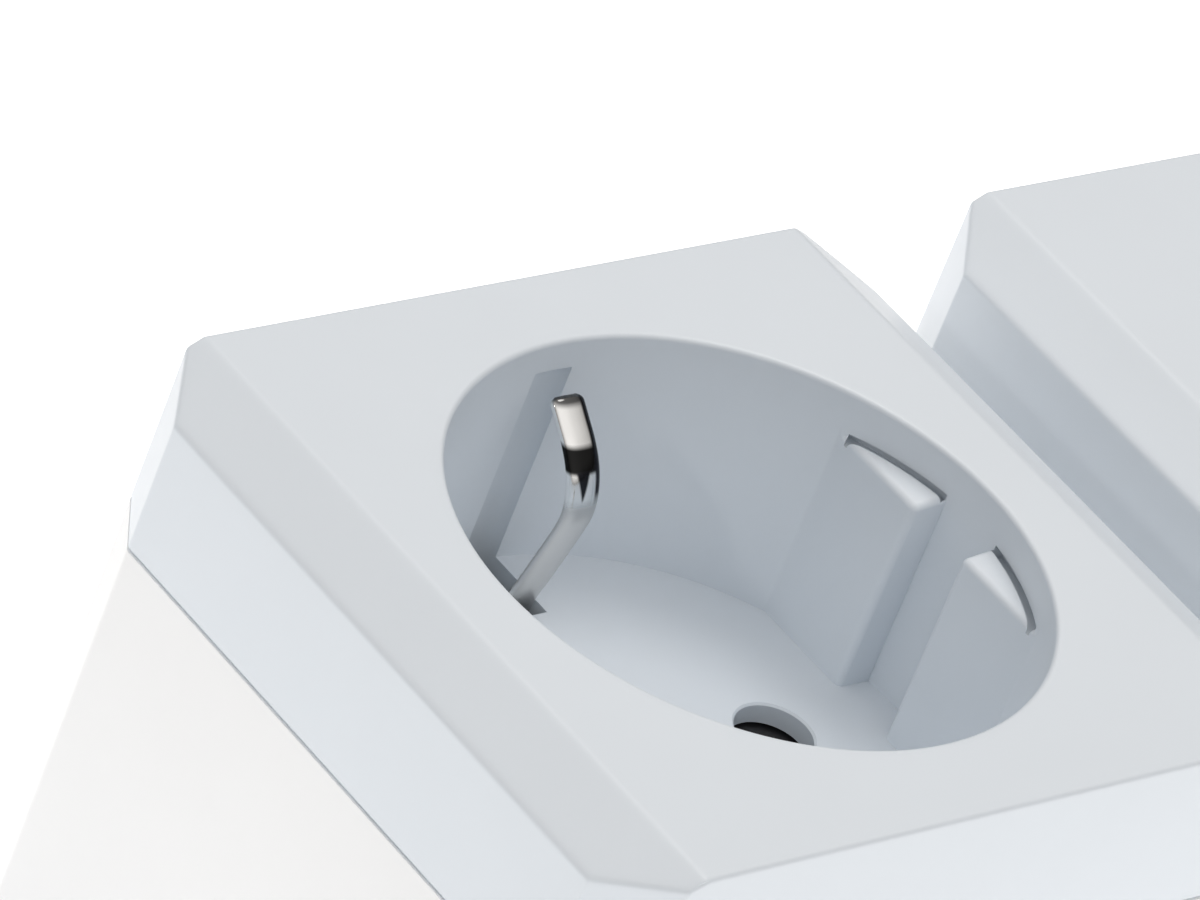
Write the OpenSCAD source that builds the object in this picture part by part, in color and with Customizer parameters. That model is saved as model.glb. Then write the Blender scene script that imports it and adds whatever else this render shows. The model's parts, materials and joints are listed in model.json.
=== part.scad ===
// Three-way mains socket block with recessed round sockets, side earth clips
// and a turning safety shutter under each socket.
// The row of sockets runs along X, +Y is the back and the block stands on z = 0.

/* [Row of sockets] */
// Distance from one socket to the next
pitch = 65; // [60:1:80]
// Height over all, feet included
total_h = 42; // [42:1:52]
// Width over all, front to back
body_w = 51.5; // [50:0.5:60]

/* [Tower] */
// Length of one tower along the row
tower_l = 57.3; // [56:0.1:59]
// Length that the cut across an upright corner takes off the front or back face
corner_cut_x = 3.5; // [1:0.1:5]
// Length that it takes off the end face
corner_cut_y = 4.5; // [1:0.1:5]
// Radius that softens the two edges of that cut
corner_r = 0.6; // [0.5:0.1:3]
// Width of the sloping bevel on a tower's two ends
bevel_w = 4.55; // [1:0.05:5]
// Drop of that bevel from the top face to the end face
bevel_drop = 2.55; // [1:0.05:4]
// Radius of the top edge along the front and the back
top_edge_r = 0.35; // [0.3:0.05:2]
// Height of a tower above the seam
tower_h = 12.3; // [10:0.1:14]
// Height and depth of the shadow gap at the seam
seam_gap = 0.2; // [0.1:0.05:0.8]
// Thickness of the tower's top
top_t = 2.6; // [2:0.1:3]

/* [Well] */
// Radius of the round well
well_r = 19.5; // [19.5:0.1:20]
// Depth of the well
well_depth = 17.5; // [17:0.1:17.5]
// Thickness of the well's wall and floor
well_wall = 1.5; // [1.2:0.1:1.8]
// Radius of the well's rounded rim
rim_r = 0.35; // [0.1:0.05:0.6]
// Distance from the middle to a guide rib's flat face
rib_x = 16.75; // [16.2:0.05:17.5]
// Half of the gap between the two ribs of a pair
rib_gap = 2.4; // [2:0.1:3]
// Drop of a rib's top below the top face, at its inner edge
rib_drop = 3; // [2:0.1:5]
// Width of the slit between a rib's top and the well's wall
rib_slit_w = 0.45; // [0.2:0.05:0.8]
// Depth of that slit
rib_slit_h = 1; // [0.4:0.1:2]
// How far the slit reaches into the well's wall
rib_undercut = 0.9; // [0.2:0.1:1]

/* [Pins] */
// Distance of a pin from the middle of its socket
pin_x = 9.5; // [9.5:0.1:9.5]
// Radius of a pin hole
pin_hole_r = 2.65; // [2.5:0.05:2.9]

/* [Earth clips] */
// Width of an earth clip
clip_w = 2.6; // [2:0.1:2.8]
// Thickness of an earth clip
clip_t = 0.9; // [0.6:0.1:1]
// Width of the slot that a clip stands in
clip_slot_w = 3; // [3:0.1:4]

/* [Cord inlet] */
// Radius of the inlet's bore
inlet_r = 4.4; // [3.5:0.1:5]
// Height of the inlet's axis
inlet_z = 11.5; // [11:0.5:12]

/* [Hidden] */
$fn = 64;
eps = 0.02;
// Number of sockets in the row; the node list below names three
ways = 3;
wall = 2.2;
body_l = (ways - 1) * pitch + tower_l;
seam_z = total_h - tower_h;
floor_z = total_h - well_depth;
floor_under = floor_z - well_wall;
foot_h = 1;
plate_t = 2;
plate_top = foot_h + plate_t;
plate_gap = 0.2;
deck_under = seam_z - wall;
inner_l = body_l - 2 * wall;
inner_w = body_w - 2 * wall;
cup_r = well_r + well_wall;
rib_end = 10.4;
rib_rise = 0.45;
rib_slit_z = total_h - rib_drop + rib_rise + 0.05 - rib_slit_h;

// Clip pocket behind the well's wall
pocket_y = 21;
pocket_wall = 1;
pocket_block_y = 18;
pocket_block_w = 6.4;
pocket_top = total_h - 2.3;
clip_slot_y = 13.9;

// Lip round a cover's well that drops into the housing's deck
lip_w = 1.4;
lip_drop = 2.4;
stud_r = 2.2;

// Carrier, yoke and shutter, from the well's floor down
carrier_z = floor_under - 6;
carrier_t = 1.4;
carrier_x = 15;
carrier_y = 16.2;
yoke_z = carrier_z + carrier_t;
yoke_t = 0.8;
yoke_w = 11;
shutter_z = floor_under - 1.8;
shutter_t = 1.6;
shutter_r = 12.9;
shutter_half_angle = 18;
post_r = 2;
post_clear = 0.06;
spring_wire = 0.4;
spring_r = 3.1;
spring_turns = 3;
spring_peg = [3.9, 1.6];

// Hinge line of an earth clip, just above its yoke
clip_root_y = 15.4;
clip_root_r = 0.55;
clip_root_z = yoke_z + yoke_t + 0.65;
cradle_clear = 0.05;
cradle_half_w = 0.9;

// Bus bars and contacts
bar_t = 0.8;
bar_y = 6.2;
bar_z = 8;
bar_h = 4;
bar_end = pitch * (ways - 1) / 2 + carrier_x;
earth_bar_y = carrier_y + 0.1;
earth_bar_z = yoke_z - 1.6;
contact_w = 5;
contact_t = 0.6;
contact_half = 2.45;
contact_top = carrier_z - 0.4 + 3.5;
contact_bottom = 5.6;

// Screws
screw_r = 1.05;
screw_hole_r = 1.1;
screw_clear_r = 1.5;
boss_r = 2.7;
head_r = 2.5;
head_h = 1.6;
cover_boss = [23.2, 20.2];
carrier_screw_y = 8;
plate_bosses = [
    for (s = [-1, 1], y = [-14.6, 14.6]) [s * (body_l / 2 - 5.15), y],
    for (i = [1:ways - 1], y = [-20.4, 20.4]) [(i - ways / 2) * pitch, y]];
foot_x = body_l / 2 - 17;
foot_y = 14;
foot_r = 5;
foot_seat = 0.6;
keyhole_x = pitch / 2;
keyhole_r = 4.2;
keyhole_slot_w = 4.4;
keyhole_slot_l = 8;

// Cord clamp
clamp_x = bar_end + 1.8;
clamp_l = 5.4;
clamp_screw_y = 8.6;
clamp_half_w = 11.4;
gland_flange_t = 3;

// Middle of socket i along the row, counted from 1 at the left
function socket_x(i) = (i - 1 - (ways - 1) / 2) * pitch;

// Outline of a bent strip of thickness t along the points p, with mitred bends
function unit(v) = v / norm(v);
function normal_at(p, i) =
    let (a = i > 0 ? unit(p[i] - p[i - 1]) : unit(p[1] - p[0]),
        b = i < len(p) - 1 ? unit(p[i + 1] - p[i]) : a,
        m = unit([-a.y - b.y, a.x + b.x]))
    m / (m * [-a.y, a.x]);
function ribbon(p, t) = concat(
    [for (i = [0:len(p) - 1]) p[i] + normal_at(p, i) * t / 2],
    [for (i = [len(p) - 1:-1:0]) p[i] - normal_at(p, i) * t / 2]);

// A slab with its upright corners cut across and softened; inset is how far
// its sides lie inside the block's outer skin
module cut_corner_slab(l, w, inset, h) {
    r = max(corner_r - inset, 0.2);
    slant = norm([corner_cut_x, corner_cut_y]);
    spare = (inset + r) * (corner_cut_x + corner_cut_y - slant);
    // middles of the two small rounds of a corner
    side = [l / 2 - r, w / 2 - r - corner_cut_y + spare / corner_cut_x];
    end = [l / 2 - r - corner_cut_x + spare / corner_cut_y, w / 2 - r];
    out = r / slant * [corner_cut_y, corner_cut_x];
    corner = [side + [r, 0], side + out, end + out, end + [0, r]];
    linear_extrude(h) {
        polygon([for (c = [[1, 1], [-1, 1], [-1, -1], [1, -1]], k = [0:3])
            let (p = corner[c.x * c.y > 0 ? k : 3 - k]) [c.x * p.x, c.y * p.y]]);
        for (x = [-1, 1], y = [-1, 1], p = [side, end])
            translate([x * p.x, y * p.y]) circle(r);
    }
}

module rounded_slab(l, w, r, h) {
    linear_extrude(h) {
        square([l - 2 * r, w], center = true);
        square([l, w - 2 * r], center = true);
        for (x = [-1, 1], y = [-1, 1])
            translate([x * (l / 2 - r), y * (w / 2 - r)]) circle(r);
    }
}

// The outline of an upright plate in the YZ plane, w wide along X
module cross_plate(w) {
    rotate([90, 0, 90]) translate([0, 0, -w / 2]) linear_extrude(w) children();
}

module tower_body() {
    difference() {
        translate([0, 0, seam_z]) cut_corner_slab(tower_l, body_w, 0, tower_h);
        // sloping bevels on the two ends
        for (s = [-1, 1])
            translate([s * (tower_l / 2 - bevel_w), 0, total_h])
                rotate([0, s * atan2(bevel_drop, bevel_w), 0])
                    translate([-8, -body_w, 0]) cube([16, 2 * body_w, 8]);
        // rounded top edges along the front and the back
        for (s = [-1, 1])
            translate([-tower_l, s * (body_w / 2 - top_edge_r), total_h - top_edge_r])
                difference() {
                    translate([0, s > 0 ? 0 : -3, 0]) cube([2 * tower_l, 3, 3]);
                    rotate([0, 90, 0]) cylinder(r = top_edge_r, h = 2 * tower_l);
                }
        // shadow gap at the seam
        translate([0, 0, seam_z - eps]) difference() {
            cut_corner_slab(tower_l + 2, body_w + 2, -1, seam_gap + eps);
            cut_corner_slab(tower_l - 2 * seam_gap, body_w - 2 * seam_gap, seam_gap, seam_gap + eps);
        }
    }
}

module ring(inner, outer, h) {
    difference() {
        cylinder(r = outer, h = h, $fn = 96);
        translate([0, 0, -1]) cylinder(r = inner, h = h + 2, $fn = 96);
    }
}

module guide_rib() {
    difference() {
        intersection() {
            translate([0, 0, floor_z - 0.1]) cylinder(r = well_r + 0.3, h = well_depth);
            translate([0, rib_end, 0]) rotate([90, 0, 0]) linear_extrude(rib_end - rib_gap)
                polygon([[rib_x, floor_z - 0.1], [well_r + 1, floor_z - 0.1],
                    [well_r + 1, total_h - rib_drop + rib_rise], [rib_x, total_h - rib_drop]]);
        }
        translate([0, 0, rib_slit_z]) ring(well_r - rib_slit_w, well_r + 1, rib_slit_h + 1);
    }
}

// Slit behind a rib's top, a little way into the well's wall
module rib_slit() {
    intersection() {
        translate([0, 0, rib_slit_z]) ring(well_r - rib_slit_w, well_r + rib_undercut, rib_slit_h);
        translate([rib_x, rib_gap, rib_slit_z - 1]) cube([rib_end, rib_end - rib_gap, rib_slit_h + 2]);
    }
}

// The tapering mouth that rounds the well's rim
module rim_cut() {
    rotate_extrude($fn = 96)
        difference() {
            translate([0, total_h - rim_r]) square([well_r + rim_r, rim_r + 1]);
            translate([well_r + rim_r, total_h - rim_r]) circle(rim_r, $fn = 32);
        }
}

module socket_cover(i) {
    color("whitesmoke") translate([socket_x(i), 0, 0]) difference() {
        union() {
            difference() {
                tower_body();
                // hollow of the tower, open below
                translate([0, 0, seam_z - 1])
                    cut_corner_slab(tower_l - 2 * wall, body_w - 2 * wall, wall, tower_h - top_t + 1);
            }
            // locating lip that drops into the deck's opening
            translate([0, 0, seam_z - lip_drop]) difference() {
                cylinder(r = cup_r + lip_w, h = tower_h - 2);
                translate([0, 0, -1]) cylinder(r = cup_r - eps, h = tower_h + 2);
            }
            translate([0, 0, floor_under]) cylinder(r = cup_r, h = total_h - floor_under - 1);
            for (s = [-1, 1])
                translate([-pocket_block_w / 2, s > 0 ? pocket_block_y : -pocket_y - pocket_wall, floor_under])
                    cube([pocket_block_w, pocket_y + pocket_wall - pocket_block_y,
                        pocket_top + 1.6 - floor_under]);
            for (x = [-1, 1], y = [-1, 1])
                translate([x * cover_boss.x, y * cover_boss.y, seam_z])
                    cylinder(r = boss_r, h = tower_h - 2);
            // studs under the floor for the carrier's screws
            for (s = [-1, 1])
                translate([0, s * carrier_screw_y, yoke_z + yoke_t])
                    cylinder(r = stud_r, h = floor_under + 0.1 - yoke_z - yoke_t);
        }
        difference() {
            translate([0, 0, floor_z]) cylinder(r = well_r, h = well_depth + 1, $fn = 96);
            for (a = [0, 1], b = [0, 1]) mirror([a, 0, 0]) mirror([0, b, 0]) guide_rib();
        }
        for (a = [0, 1], b = [0, 1]) mirror([a, 0, 0]) mirror([0, b, 0]) rib_slit();
        rim_cut();
        for (s = [-1, 1]) {
            translate([s * pin_x, 0, floor_under - 1]) cylinder(r = pin_hole_r, h = well_wall + 2);
            // pocket in the wall and slot in the floor for an earth clip
            translate([-clip_slot_w / 2, s > 0 ? clip_slot_y : clip_slot_w / 2 - pocket_y, floor_under - 1])
                cube([clip_slot_w, pocket_y - clip_slot_w / 2 - clip_slot_y, pocket_top - floor_under + 1]);
            translate([0, s * (pocket_y - clip_slot_w / 2), floor_under - 1])
                cylinder(r = clip_slot_w / 2, h = pocket_top - floor_under + 1);
            translate([0, s * carrier_screw_y, yoke_z + yoke_t - 1])
                cylinder(r = screw_hole_r, h = 4.4);
        }
        for (x = [-1, 1], y = [-1, 1])
            translate([x * cover_boss.x, y * cover_boss.y, seam_z - 1])
                cylinder(r = screw_hole_r, h = 8.5);
    }
}

module base_housing() {
    color("white") difference() {
        union() {
            difference() {
                translate([0, 0, foot_h]) cut_corner_slab(body_l, body_w, 0, seam_z - foot_h);
                translate([0, 0, foot_h - 1])
                    cut_corner_slab(inner_l, inner_w, wall, deck_under - foot_h + 1);
            }
            for (p = plate_bosses)
                translate([p.x, p.y, plate_top]) cylinder(r = boss_r - 0.1, h = deck_under + 1 - plate_top);
        }
        for (i = [1:ways]) translate([socket_x(i), 0, 0]) {
            translate([0, 0, deck_under - 1]) cylinder(r = cup_r + lip_w + 0.1, h = wall + 2);
            for (x = [-1, 1], y = [-1, 1])
                translate([x * cover_boss.x, y * cover_boss.y, deck_under - 1])
                    cylinder(r = screw_clear_r, h = wall + 2);
        }
        for (p = plate_bosses) translate([p.x, p.y, plate_top - 1]) cylinder(r = screw_hole_r, h = 11);
        // inlet hole for the gland's neck
        translate([body_l / 2 - wall - 1, 0, inlet_z])
            rotate([0, 90, 0]) cylinder(r = inlet_r + 2.2, h = wall + 2);
    }
}

module keyhole() {
    translate([0, 0, foot_h - 1]) {
        cylinder(r = keyhole_r, h = plate_t + 2);
        translate([0, -keyhole_slot_w / 2, 0]) cube([keyhole_slot_l, keyhole_slot_w, plate_t + 2]);
        translate([keyhole_slot_l, 0, 0]) cylinder(r = keyhole_slot_w / 2, h = plate_t + 2);
    }
}

module bottom_plate() {
    plate_l = inner_l - 2 * plate_gap;
    plate_w = inner_w - 2 * plate_gap;
    color("gainsboro") difference() {
        union() {
            translate([0, 0, foot_h]) cut_corner_slab(plate_l, plate_w, wall, plate_t);
            // lower half of the cord clamp, with its two posts
            translate([clamp_x, -clamp_half_w, plate_top - eps])
                cube([clamp_l, 2 * clamp_half_w, inlet_z - 1 - plate_top]);
            for (s = [-1, 1])
                translate([clamp_x + clamp_l / 2, s * clamp_screw_y, plate_top - eps])
                    cylinder(r = 2.5, h = inlet_z + inlet_r - 0.6 - plate_top);
        }
        translate([clamp_x - 1, 0, inlet_z]) rotate([0, 90, 0]) cylinder(r = inlet_r - 0.3, h = clamp_l + 2);
        for (s = [-1, 1])
            translate([clamp_x + clamp_l / 2, s * clamp_screw_y, plate_top + 2])
                cylinder(r = screw_hole_r, h = 20);
        for (p = plate_bosses) translate([p.x, p.y, foot_h]) {
            translate([0, 0, -1]) cylinder(r = screw_clear_r, h = plate_t + 2);
            translate([0, 0, -0.01]) cylinder(r1 = head_r + 0.1, r2 = screw_clear_r, h = 1.2);
        }
        for (s = [-1, 1]) translate([s * keyhole_x - keyhole_slot_l / 2, 0, 0]) keyhole();
        // shallow seats for the feet
        for (x = [-1, 1], y = [-1, 1]) translate([x * foot_x, y * foot_y, foot_h - 1])
            cylinder(r = foot_r + 0.05, h = 1 + foot_seat);
    }
}

module contact_carrier(i) {
    color("ivory") translate([socket_x(i), 0, 0]) difference() {
        union() {
            translate([0, 0, carrier_z]) rounded_slab(2 * carrier_x, 2 * carrier_y, 3, carrier_t);
            translate([0, 0, carrier_z]) cylinder(r = post_r, h = floor_under - carrier_z);
            // legs down to the bottom plate
            for (x = [-1, 1], y = [-1, 1])
                translate([x * (carrier_x - 2.6) - 1.6, y * (carrier_y - 2.6) - 1.6, plate_top])
                    cube([3.2, 3.2, carrier_z - plate_top + 0.1]);
            // bridge that holds the two bars on edge
            for (x = [-1, 1])
                translate([x * (carrier_x - 1) - 0.6, -carrier_y + 2.6, plate_top])
                    cube([1.2, 2 * carrier_y - 5.2, bar_z - 0.1 - plate_top]);
            // peg that holds the spring's lower leg
            translate([spring_peg.x, -spring_peg.y, yoke_z - 0.1]) cylinder(r = 0.6, h = 1.9);
        }
        for (s = [-1, 1]) {
            translate([s * pin_x - 3, -3.5, carrier_z - 1]) cube([6, 7, carrier_t + 2]);
            translate([0, s * carrier_screw_y, carrier_z - 1]) cylinder(r = screw_clear_r, h = carrier_t + 2);
        }
    }
}

// A paddle over one pin hole: a sector of a ring
module shutter_paddle(turn) {
    half_w = shutter_half_angle;
    rotate(turn) linear_extrude(shutter_t) intersection() {
        difference() {
            circle(shutter_r);
            circle(3);
        }
        polygon([[0, 0], 20 * [cos(half_w), -sin(half_w)], 20 * [1, 0], 20 * [cos(half_w), sin(half_w)]]);
    }
}

module shutter(i) {
    color("dimgray") translate([socket_x(i), 0, shutter_z]) difference() {
        union() {
            cylinder(r = 4.6, h = shutter_t);
            for (turn = [0, 180]) shutter_paddle(turn);
            // peg that the spring's upper leg pulls on
            translate([spring_peg.x - 0.1, spring_peg.y, -0.9]) cylinder(r = 0.5, h = 1);
        }
        translate([0, 0, -1]) cylinder(r = post_r + post_clear, h = shutter_t + 2);
        // ramps that a pin pushes aside
        for (turn = [0, 180]) rotate(turn) translate([6.2, 0, shutter_t])
            rotate([12, 0, 0]) translate([0, -8, 0]) cube([8, 8, 3]);
    }
}

// Round wire swept along the points p
module wire(p, r, sides) {
    n = len(p);
    ring = function (k)
        let (t = unit(p[min(k + 1, n - 1)] - p[max(k - 1, 0)]),
            u = unit(cross(t, [0, 0, 1])),
            v = cross(u, t))
        [for (j = [0:sides - 1]) p[k] + r * (cos(360 * j / sides) * u + sin(360 * j / sides) * v)];
    polyhedron(
        points = [for (k = [0:n - 1]) each ring(k)],
        faces = concat(
            [[for (j = [0:sides - 1]) j]],
            [for (k = [0:n - 2], j = [0:sides - 1]) let (m = (j + 1) % sides)
                [k * sides + j, (k + 1) * sides + j, (k + 1) * sides + m, k * sides + m]],
            [[for (j = [sides - 1:-1:0]) (n - 1) * sides + j]]));
}

module shutter_spring(i) {
    z0 = yoke_z + yoke_t + 0.3;
    rise = 0.45;
    steps = 18;
    coil = [for (k = [0:spring_turns * steps]) let (a = 360 * k / steps)
        [spring_r * cos(a), spring_r * sin(a), z0 + rise * k / steps]];
    color("silver") translate([socket_x(i), 0, 0])
        wire(concat([[spring_r, -2.8, z0]], coil, [[spring_r, 2.8, z0 + rise * spring_turns]]),
            spring_wire / 2, 6);
}

// An earth clip's side view, [y, z], from its root up to its tip behind the bend
function clip_line() = [
    [clip_root_y, clip_root_z], [15.15, floor_z], [14.58, floor_z + 2.6], [14.02, floor_z + 5.1],
    [13.55, floor_z + 7.3], [13.4, floor_z + 8.5], [13.55, floor_z + 9.6], [13.98, floor_z + 10.75],
    [14.66, floor_z + 11.8], [15.55, total_h - 4.8], [16.45, total_h - 4.1], [17.2, total_h - 3.52],
    [17.85, total_h - 3.02]];

module earth_clip(i, s) {
    color("silver") translate([socket_x(i), 0, 0]) scale([1, s, 1]) {
        cross_plate(clip_w) polygon(ribbon(clip_line(), clip_t));
        translate([-clip_w / 2, clip_root_y, clip_root_z]) rotate([0, 90, 0])
            cylinder(r = clip_root_r, h = clip_w);
    }
}

module earth_yoke(i) {
    arm_end = clip_root_y + 1.2;
    color("goldenrod") translate([socket_x(i), 0, 0]) difference() {
        union() {
            translate([-yoke_w / 2, -carrier_screw_y - 3.4, yoke_z])
                cube([yoke_w, 2 * carrier_screw_y + 6.8, yoke_t]);
            translate([-2.2, -arm_end, yoke_z]) cube([4.4, arm_end + earth_bar_y, yoke_t]);
            // seats that the clips' roots turn in
            for (s = [-1, 1])
                translate([-2.2, s * clip_root_y - cradle_half_w, yoke_z])
                    cube([4.4, 2 * cradle_half_w, clip_root_z - yoke_z]);
        }
        translate([0, 0, yoke_z - 1]) cylinder(r = post_r + 0.15, h = 4);
        for (s = [-1, 1]) {
            translate([0, s * carrier_screw_y, yoke_z - 1]) cylinder(r = screw_clear_r, h = 4);
            translate([-4, s * clip_root_y, clip_root_z]) rotate([0, 90, 0])
                cylinder(r = clip_root_r + cradle_clear, h = 8);
        }
        translate([spring_peg.x, -spring_peg.y, yoke_z - 1]) cylinder(r = 0.7, h = 4);
    }
}

// Two sprung leaves that grip a pin, joined by a web at the foot.
// toward is 1 where the tab to the bar points to +Y, -1 to -Y.
module pin_contact(x, toward) {
    half = contact_half + contact_t / 2;
    leaf = [[half, contact_bottom], [half, contact_top - 3], [half - 0.35, contact_top - 1.6],
        [half + 0.5, contact_top]];
    color("peru") translate([x, 0, 0]) {
        for (s = [-1, 1]) scale([1, s, 1]) cross_plate(contact_w) polygon(ribbon(leaf, contact_t));
        translate([-contact_w / 2, -half - contact_t / 2, contact_bottom - contact_t])
            cube([contact_w, 2 * half + contact_t, contact_t + eps]);
        translate([-contact_w / 2, toward > 0 ? half : -bar_y, bar_z]) cube([contact_w, bar_y - half, bar_h]);
    }
}

module bus_bar(s) {
    half = contact_half + contact_t / 2;
    x0 = socket_x(1) - carrier_x + 1;
    color("peru") difference() {
        union() {
            translate([x0, s > 0 ? bar_y : -bar_y - bar_t, bar_z]) cube([bar_end - x0, bar_t, bar_h]);
            // terminal tab at the inlet's end
            translate([bar_end - 6, s > 0 ? bar_y : -bar_y - 5, bar_z + bar_h - bar_t]) cube([6, 5, bar_t]);
        }
        translate([bar_end - 3, s * (bar_y + 3), bar_z]) cylinder(r = screw_hole_r, h = 8);
    }
}

module earth_bus_bar() {
    x0 = socket_x(1) - carrier_x + 1;
    color("goldenrod") difference() {
        union() {
            translate([x0, earth_bar_y, earth_bar_z]) cube([bar_end - x0, bar_t, 2.8]);
            translate([bar_end - 6, earth_bar_y, earth_bar_z]) cube([6, 5, bar_t]);
        }
        translate([bar_end - 3, earth_bar_y + 3.4, earth_bar_z - 4]) cylinder(r = screw_hole_r, h = 8);
    }
}

module cable_gland() {
    end_x = body_l / 2;
    color("dimgray") translate([end_x, 0, inlet_z]) rotate([0, -90, 0]) difference() {
        union() {
            translate([0, 0, 0.2]) cylinder(r = inlet_r + 2, h = wall + 1);
            translate([0, 0, wall]) cylinder(r = inlet_r + 3.6, h = gland_flange_t);
        }
        translate([0, 0, -1]) cylinder(r = inlet_r, h = 10);
    }
}

module cord_clamp() {
    z0 = inlet_z + inlet_r - 0.6;
    color("gainsboro") translate([clamp_x, 0, 0]) difference() {
        union() {
            translate([0, -clamp_half_w, z0]) cube([clamp_l, 2 * clamp_half_w, 2]);
            // tooth that bites on the cord's sheath
            translate([clamp_l / 2, 0, z0 + 0.1]) rotate([90, 0, 0]) translate([0, 0, -3])
                linear_extrude(6) polygon([[-1.2, 0], [0, -0.9], [1.2, 0]]);
        }
        for (s = [-1, 1])
            translate([clamp_l / 2, s * clamp_screw_y, z0 - 1]) cylinder(r = screw_clear_r, h = 4);
    }
}

// Pan-head screw that points down, with its head's seat at z = 0
module pan_screw(length) {
    difference() {
        union() {
            translate([0, 0, -length]) cylinder(r = screw_r, h = length + eps);
            cylinder(r = head_r, h = head_h - 0.5);
            translate([0, 0, head_h - 0.5]) cylinder(r1 = head_r, r2 = head_r - 0.7, h = 0.5);
        }
        for (turn = [0, 90]) rotate(turn) translate([-1.4, -0.25, head_h - 0.9]) cube([2.8, 0.5, 2]);
    }
}

// Countersunk screw that points down, with its top at z = 0
module flat_screw(length) {
    difference() {
        union() {
            translate([0, 0, -length]) cylinder(r = screw_r, h = length - 1);
            translate([0, 0, -1.2]) cylinder(r1 = screw_r, r2 = head_r, h = 1.2);
        }
        for (turn = [0, 90]) rotate(turn) translate([-1.4, -0.25, -0.8]) cube([2.8, 0.5, 2]);
    }
}

module cover_screws() {
    color("silver") for (i = [1:ways], x = [-1, 1], y = [-1, 1])
        translate([socket_x(i) + x * cover_boss.x, y * cover_boss.y, deck_under])
            rotate([180, 0, 0]) pan_screw(9);
}

module carrier_screws() {
    color("silver") for (i = [1:ways], s = [-1, 1])
        translate([socket_x(i), s * carrier_screw_y, carrier_z]) rotate([180, 0, 0]) pan_screw(5);
}

module plate_screws() {
    color("silver") for (p = plate_bosses)
        translate([p.x, p.y, foot_h + 0.1]) rotate([180, 0, 0]) flat_screw(11);
}

module clamp_screws() {
    color("silver") for (s = [-1, 1])
        translate([clamp_x + clamp_l / 2, s * clamp_screw_y, inlet_z + inlet_r + 1.4]) pan_screw(9);
}

module terminal_screws() {
    color("silver") {
        for (s = [-1, 1])
            translate([bar_end - 3, s * (bar_y + 3), bar_z + bar_h]) pan_screw(3.4);
        translate([bar_end - 3, earth_bar_y + 3.4, earth_bar_z + bar_t]) pan_screw(3.4);
    }
}

module rubber_feet() {
    color("dimgray") for (x = [-1, 1], y = [-1, 1]) translate([x * foot_x, y * foot_y, 0]) {
        cylinder(r1 = foot_r - 0.4, r2 = foot_r, h = 0.4);
        translate([0, 0, 0.4]) cylinder(r = foot_r, h = foot_h + foot_seat - 0.4);
    }
}

base_housing();
bottom_plate();
socket_cover(1);  // socket_cover_1
socket_cover(2);  // socket_cover_2
socket_cover(3);  // socket_cover_3
contact_carrier(1);  // contact_carrier_1
contact_carrier(2);  // contact_carrier_2
contact_carrier(3);  // contact_carrier_3
shutter(1);  // shutter_1
shutter(2);  // shutter_2
shutter(3);  // shutter_3
shutter_spring(1);  // shutter_spring_1
shutter_spring(2);  // shutter_spring_2
shutter_spring(3);  // shutter_spring_3
earth_clip(1, 1);  // earth_clip_back_1
earth_clip(2, 1);  // earth_clip_back_2
earth_clip(3, 1);  // earth_clip_back_3
earth_clip(1, -1);  // earth_clip_front_1
earth_clip(2, -1);  // earth_clip_front_2
earth_clip(3, -1);  // earth_clip_front_3
earth_yoke(1);  // earth_yoke_1
earth_yoke(2);  // earth_yoke_2
earth_yoke(3);  // earth_yoke_3
pin_contact(socket_x(1) - pin_x, 1);  // live_contact_1
pin_contact(socket_x(2) - pin_x, 1);  // live_contact_2
pin_contact(socket_x(3) - pin_x, 1);  // live_contact_3
pin_contact(socket_x(1) + pin_x, -1);  // neutral_contact_1
pin_contact(socket_x(2) + pin_x, -1);  // neutral_contact_2
pin_contact(socket_x(3) + pin_x, -1);  // neutral_contact_3
bus_bar(1);  // live_bus_bar
bus_bar(-1);  // neutral_bus_bar
earth_bus_bar();
cable_gland();
cord_clamp();
cover_screws();
carrier_screws();
plate_screws();
clamp_screws();
terminal_screws();
rubber_feet();
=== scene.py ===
"""A three-way mains socket block: moulded covers and housing, domed nickel clips and soft studio light."""

import json
import math

import bmesh
import bpy
import numpy as np
from mathutils import Euler, Matrix, Vector


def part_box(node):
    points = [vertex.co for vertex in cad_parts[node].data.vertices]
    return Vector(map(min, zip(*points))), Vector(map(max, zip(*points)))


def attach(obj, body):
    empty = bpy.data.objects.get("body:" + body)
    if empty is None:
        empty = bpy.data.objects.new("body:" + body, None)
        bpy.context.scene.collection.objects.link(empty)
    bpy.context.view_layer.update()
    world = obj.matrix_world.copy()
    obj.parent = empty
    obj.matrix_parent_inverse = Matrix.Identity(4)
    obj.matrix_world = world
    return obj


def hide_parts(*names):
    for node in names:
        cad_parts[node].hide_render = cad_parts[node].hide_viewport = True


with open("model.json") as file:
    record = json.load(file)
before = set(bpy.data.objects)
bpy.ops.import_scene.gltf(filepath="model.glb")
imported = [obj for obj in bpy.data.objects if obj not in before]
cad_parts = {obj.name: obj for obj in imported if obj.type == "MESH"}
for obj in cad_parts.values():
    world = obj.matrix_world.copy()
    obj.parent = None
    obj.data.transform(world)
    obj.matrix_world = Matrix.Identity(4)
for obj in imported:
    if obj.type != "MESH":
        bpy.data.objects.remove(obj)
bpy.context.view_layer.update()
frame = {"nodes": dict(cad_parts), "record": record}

MM = 0.001
WAYS = (1, 2, 3)
NODES = frame["nodes"]


def centre_mm(node):
    """Middle of a CAD node's box, in millimetres."""
    low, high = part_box(node)
    return (low + high) / 2 / MM


SOCKET_X = {i: centre_mm(f"socket_cover_{i}").x for i in WAYS}
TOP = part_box("socket_cover_1")[1].z / MM
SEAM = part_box("base_housing")[1].z / MM
FLOOR_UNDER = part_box("contact_carrier_1")[1].z / MM
FLOOR_THICK = 1.5
WELL_FLOOR = FLOOR_UNDER + FLOOR_THICK

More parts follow.
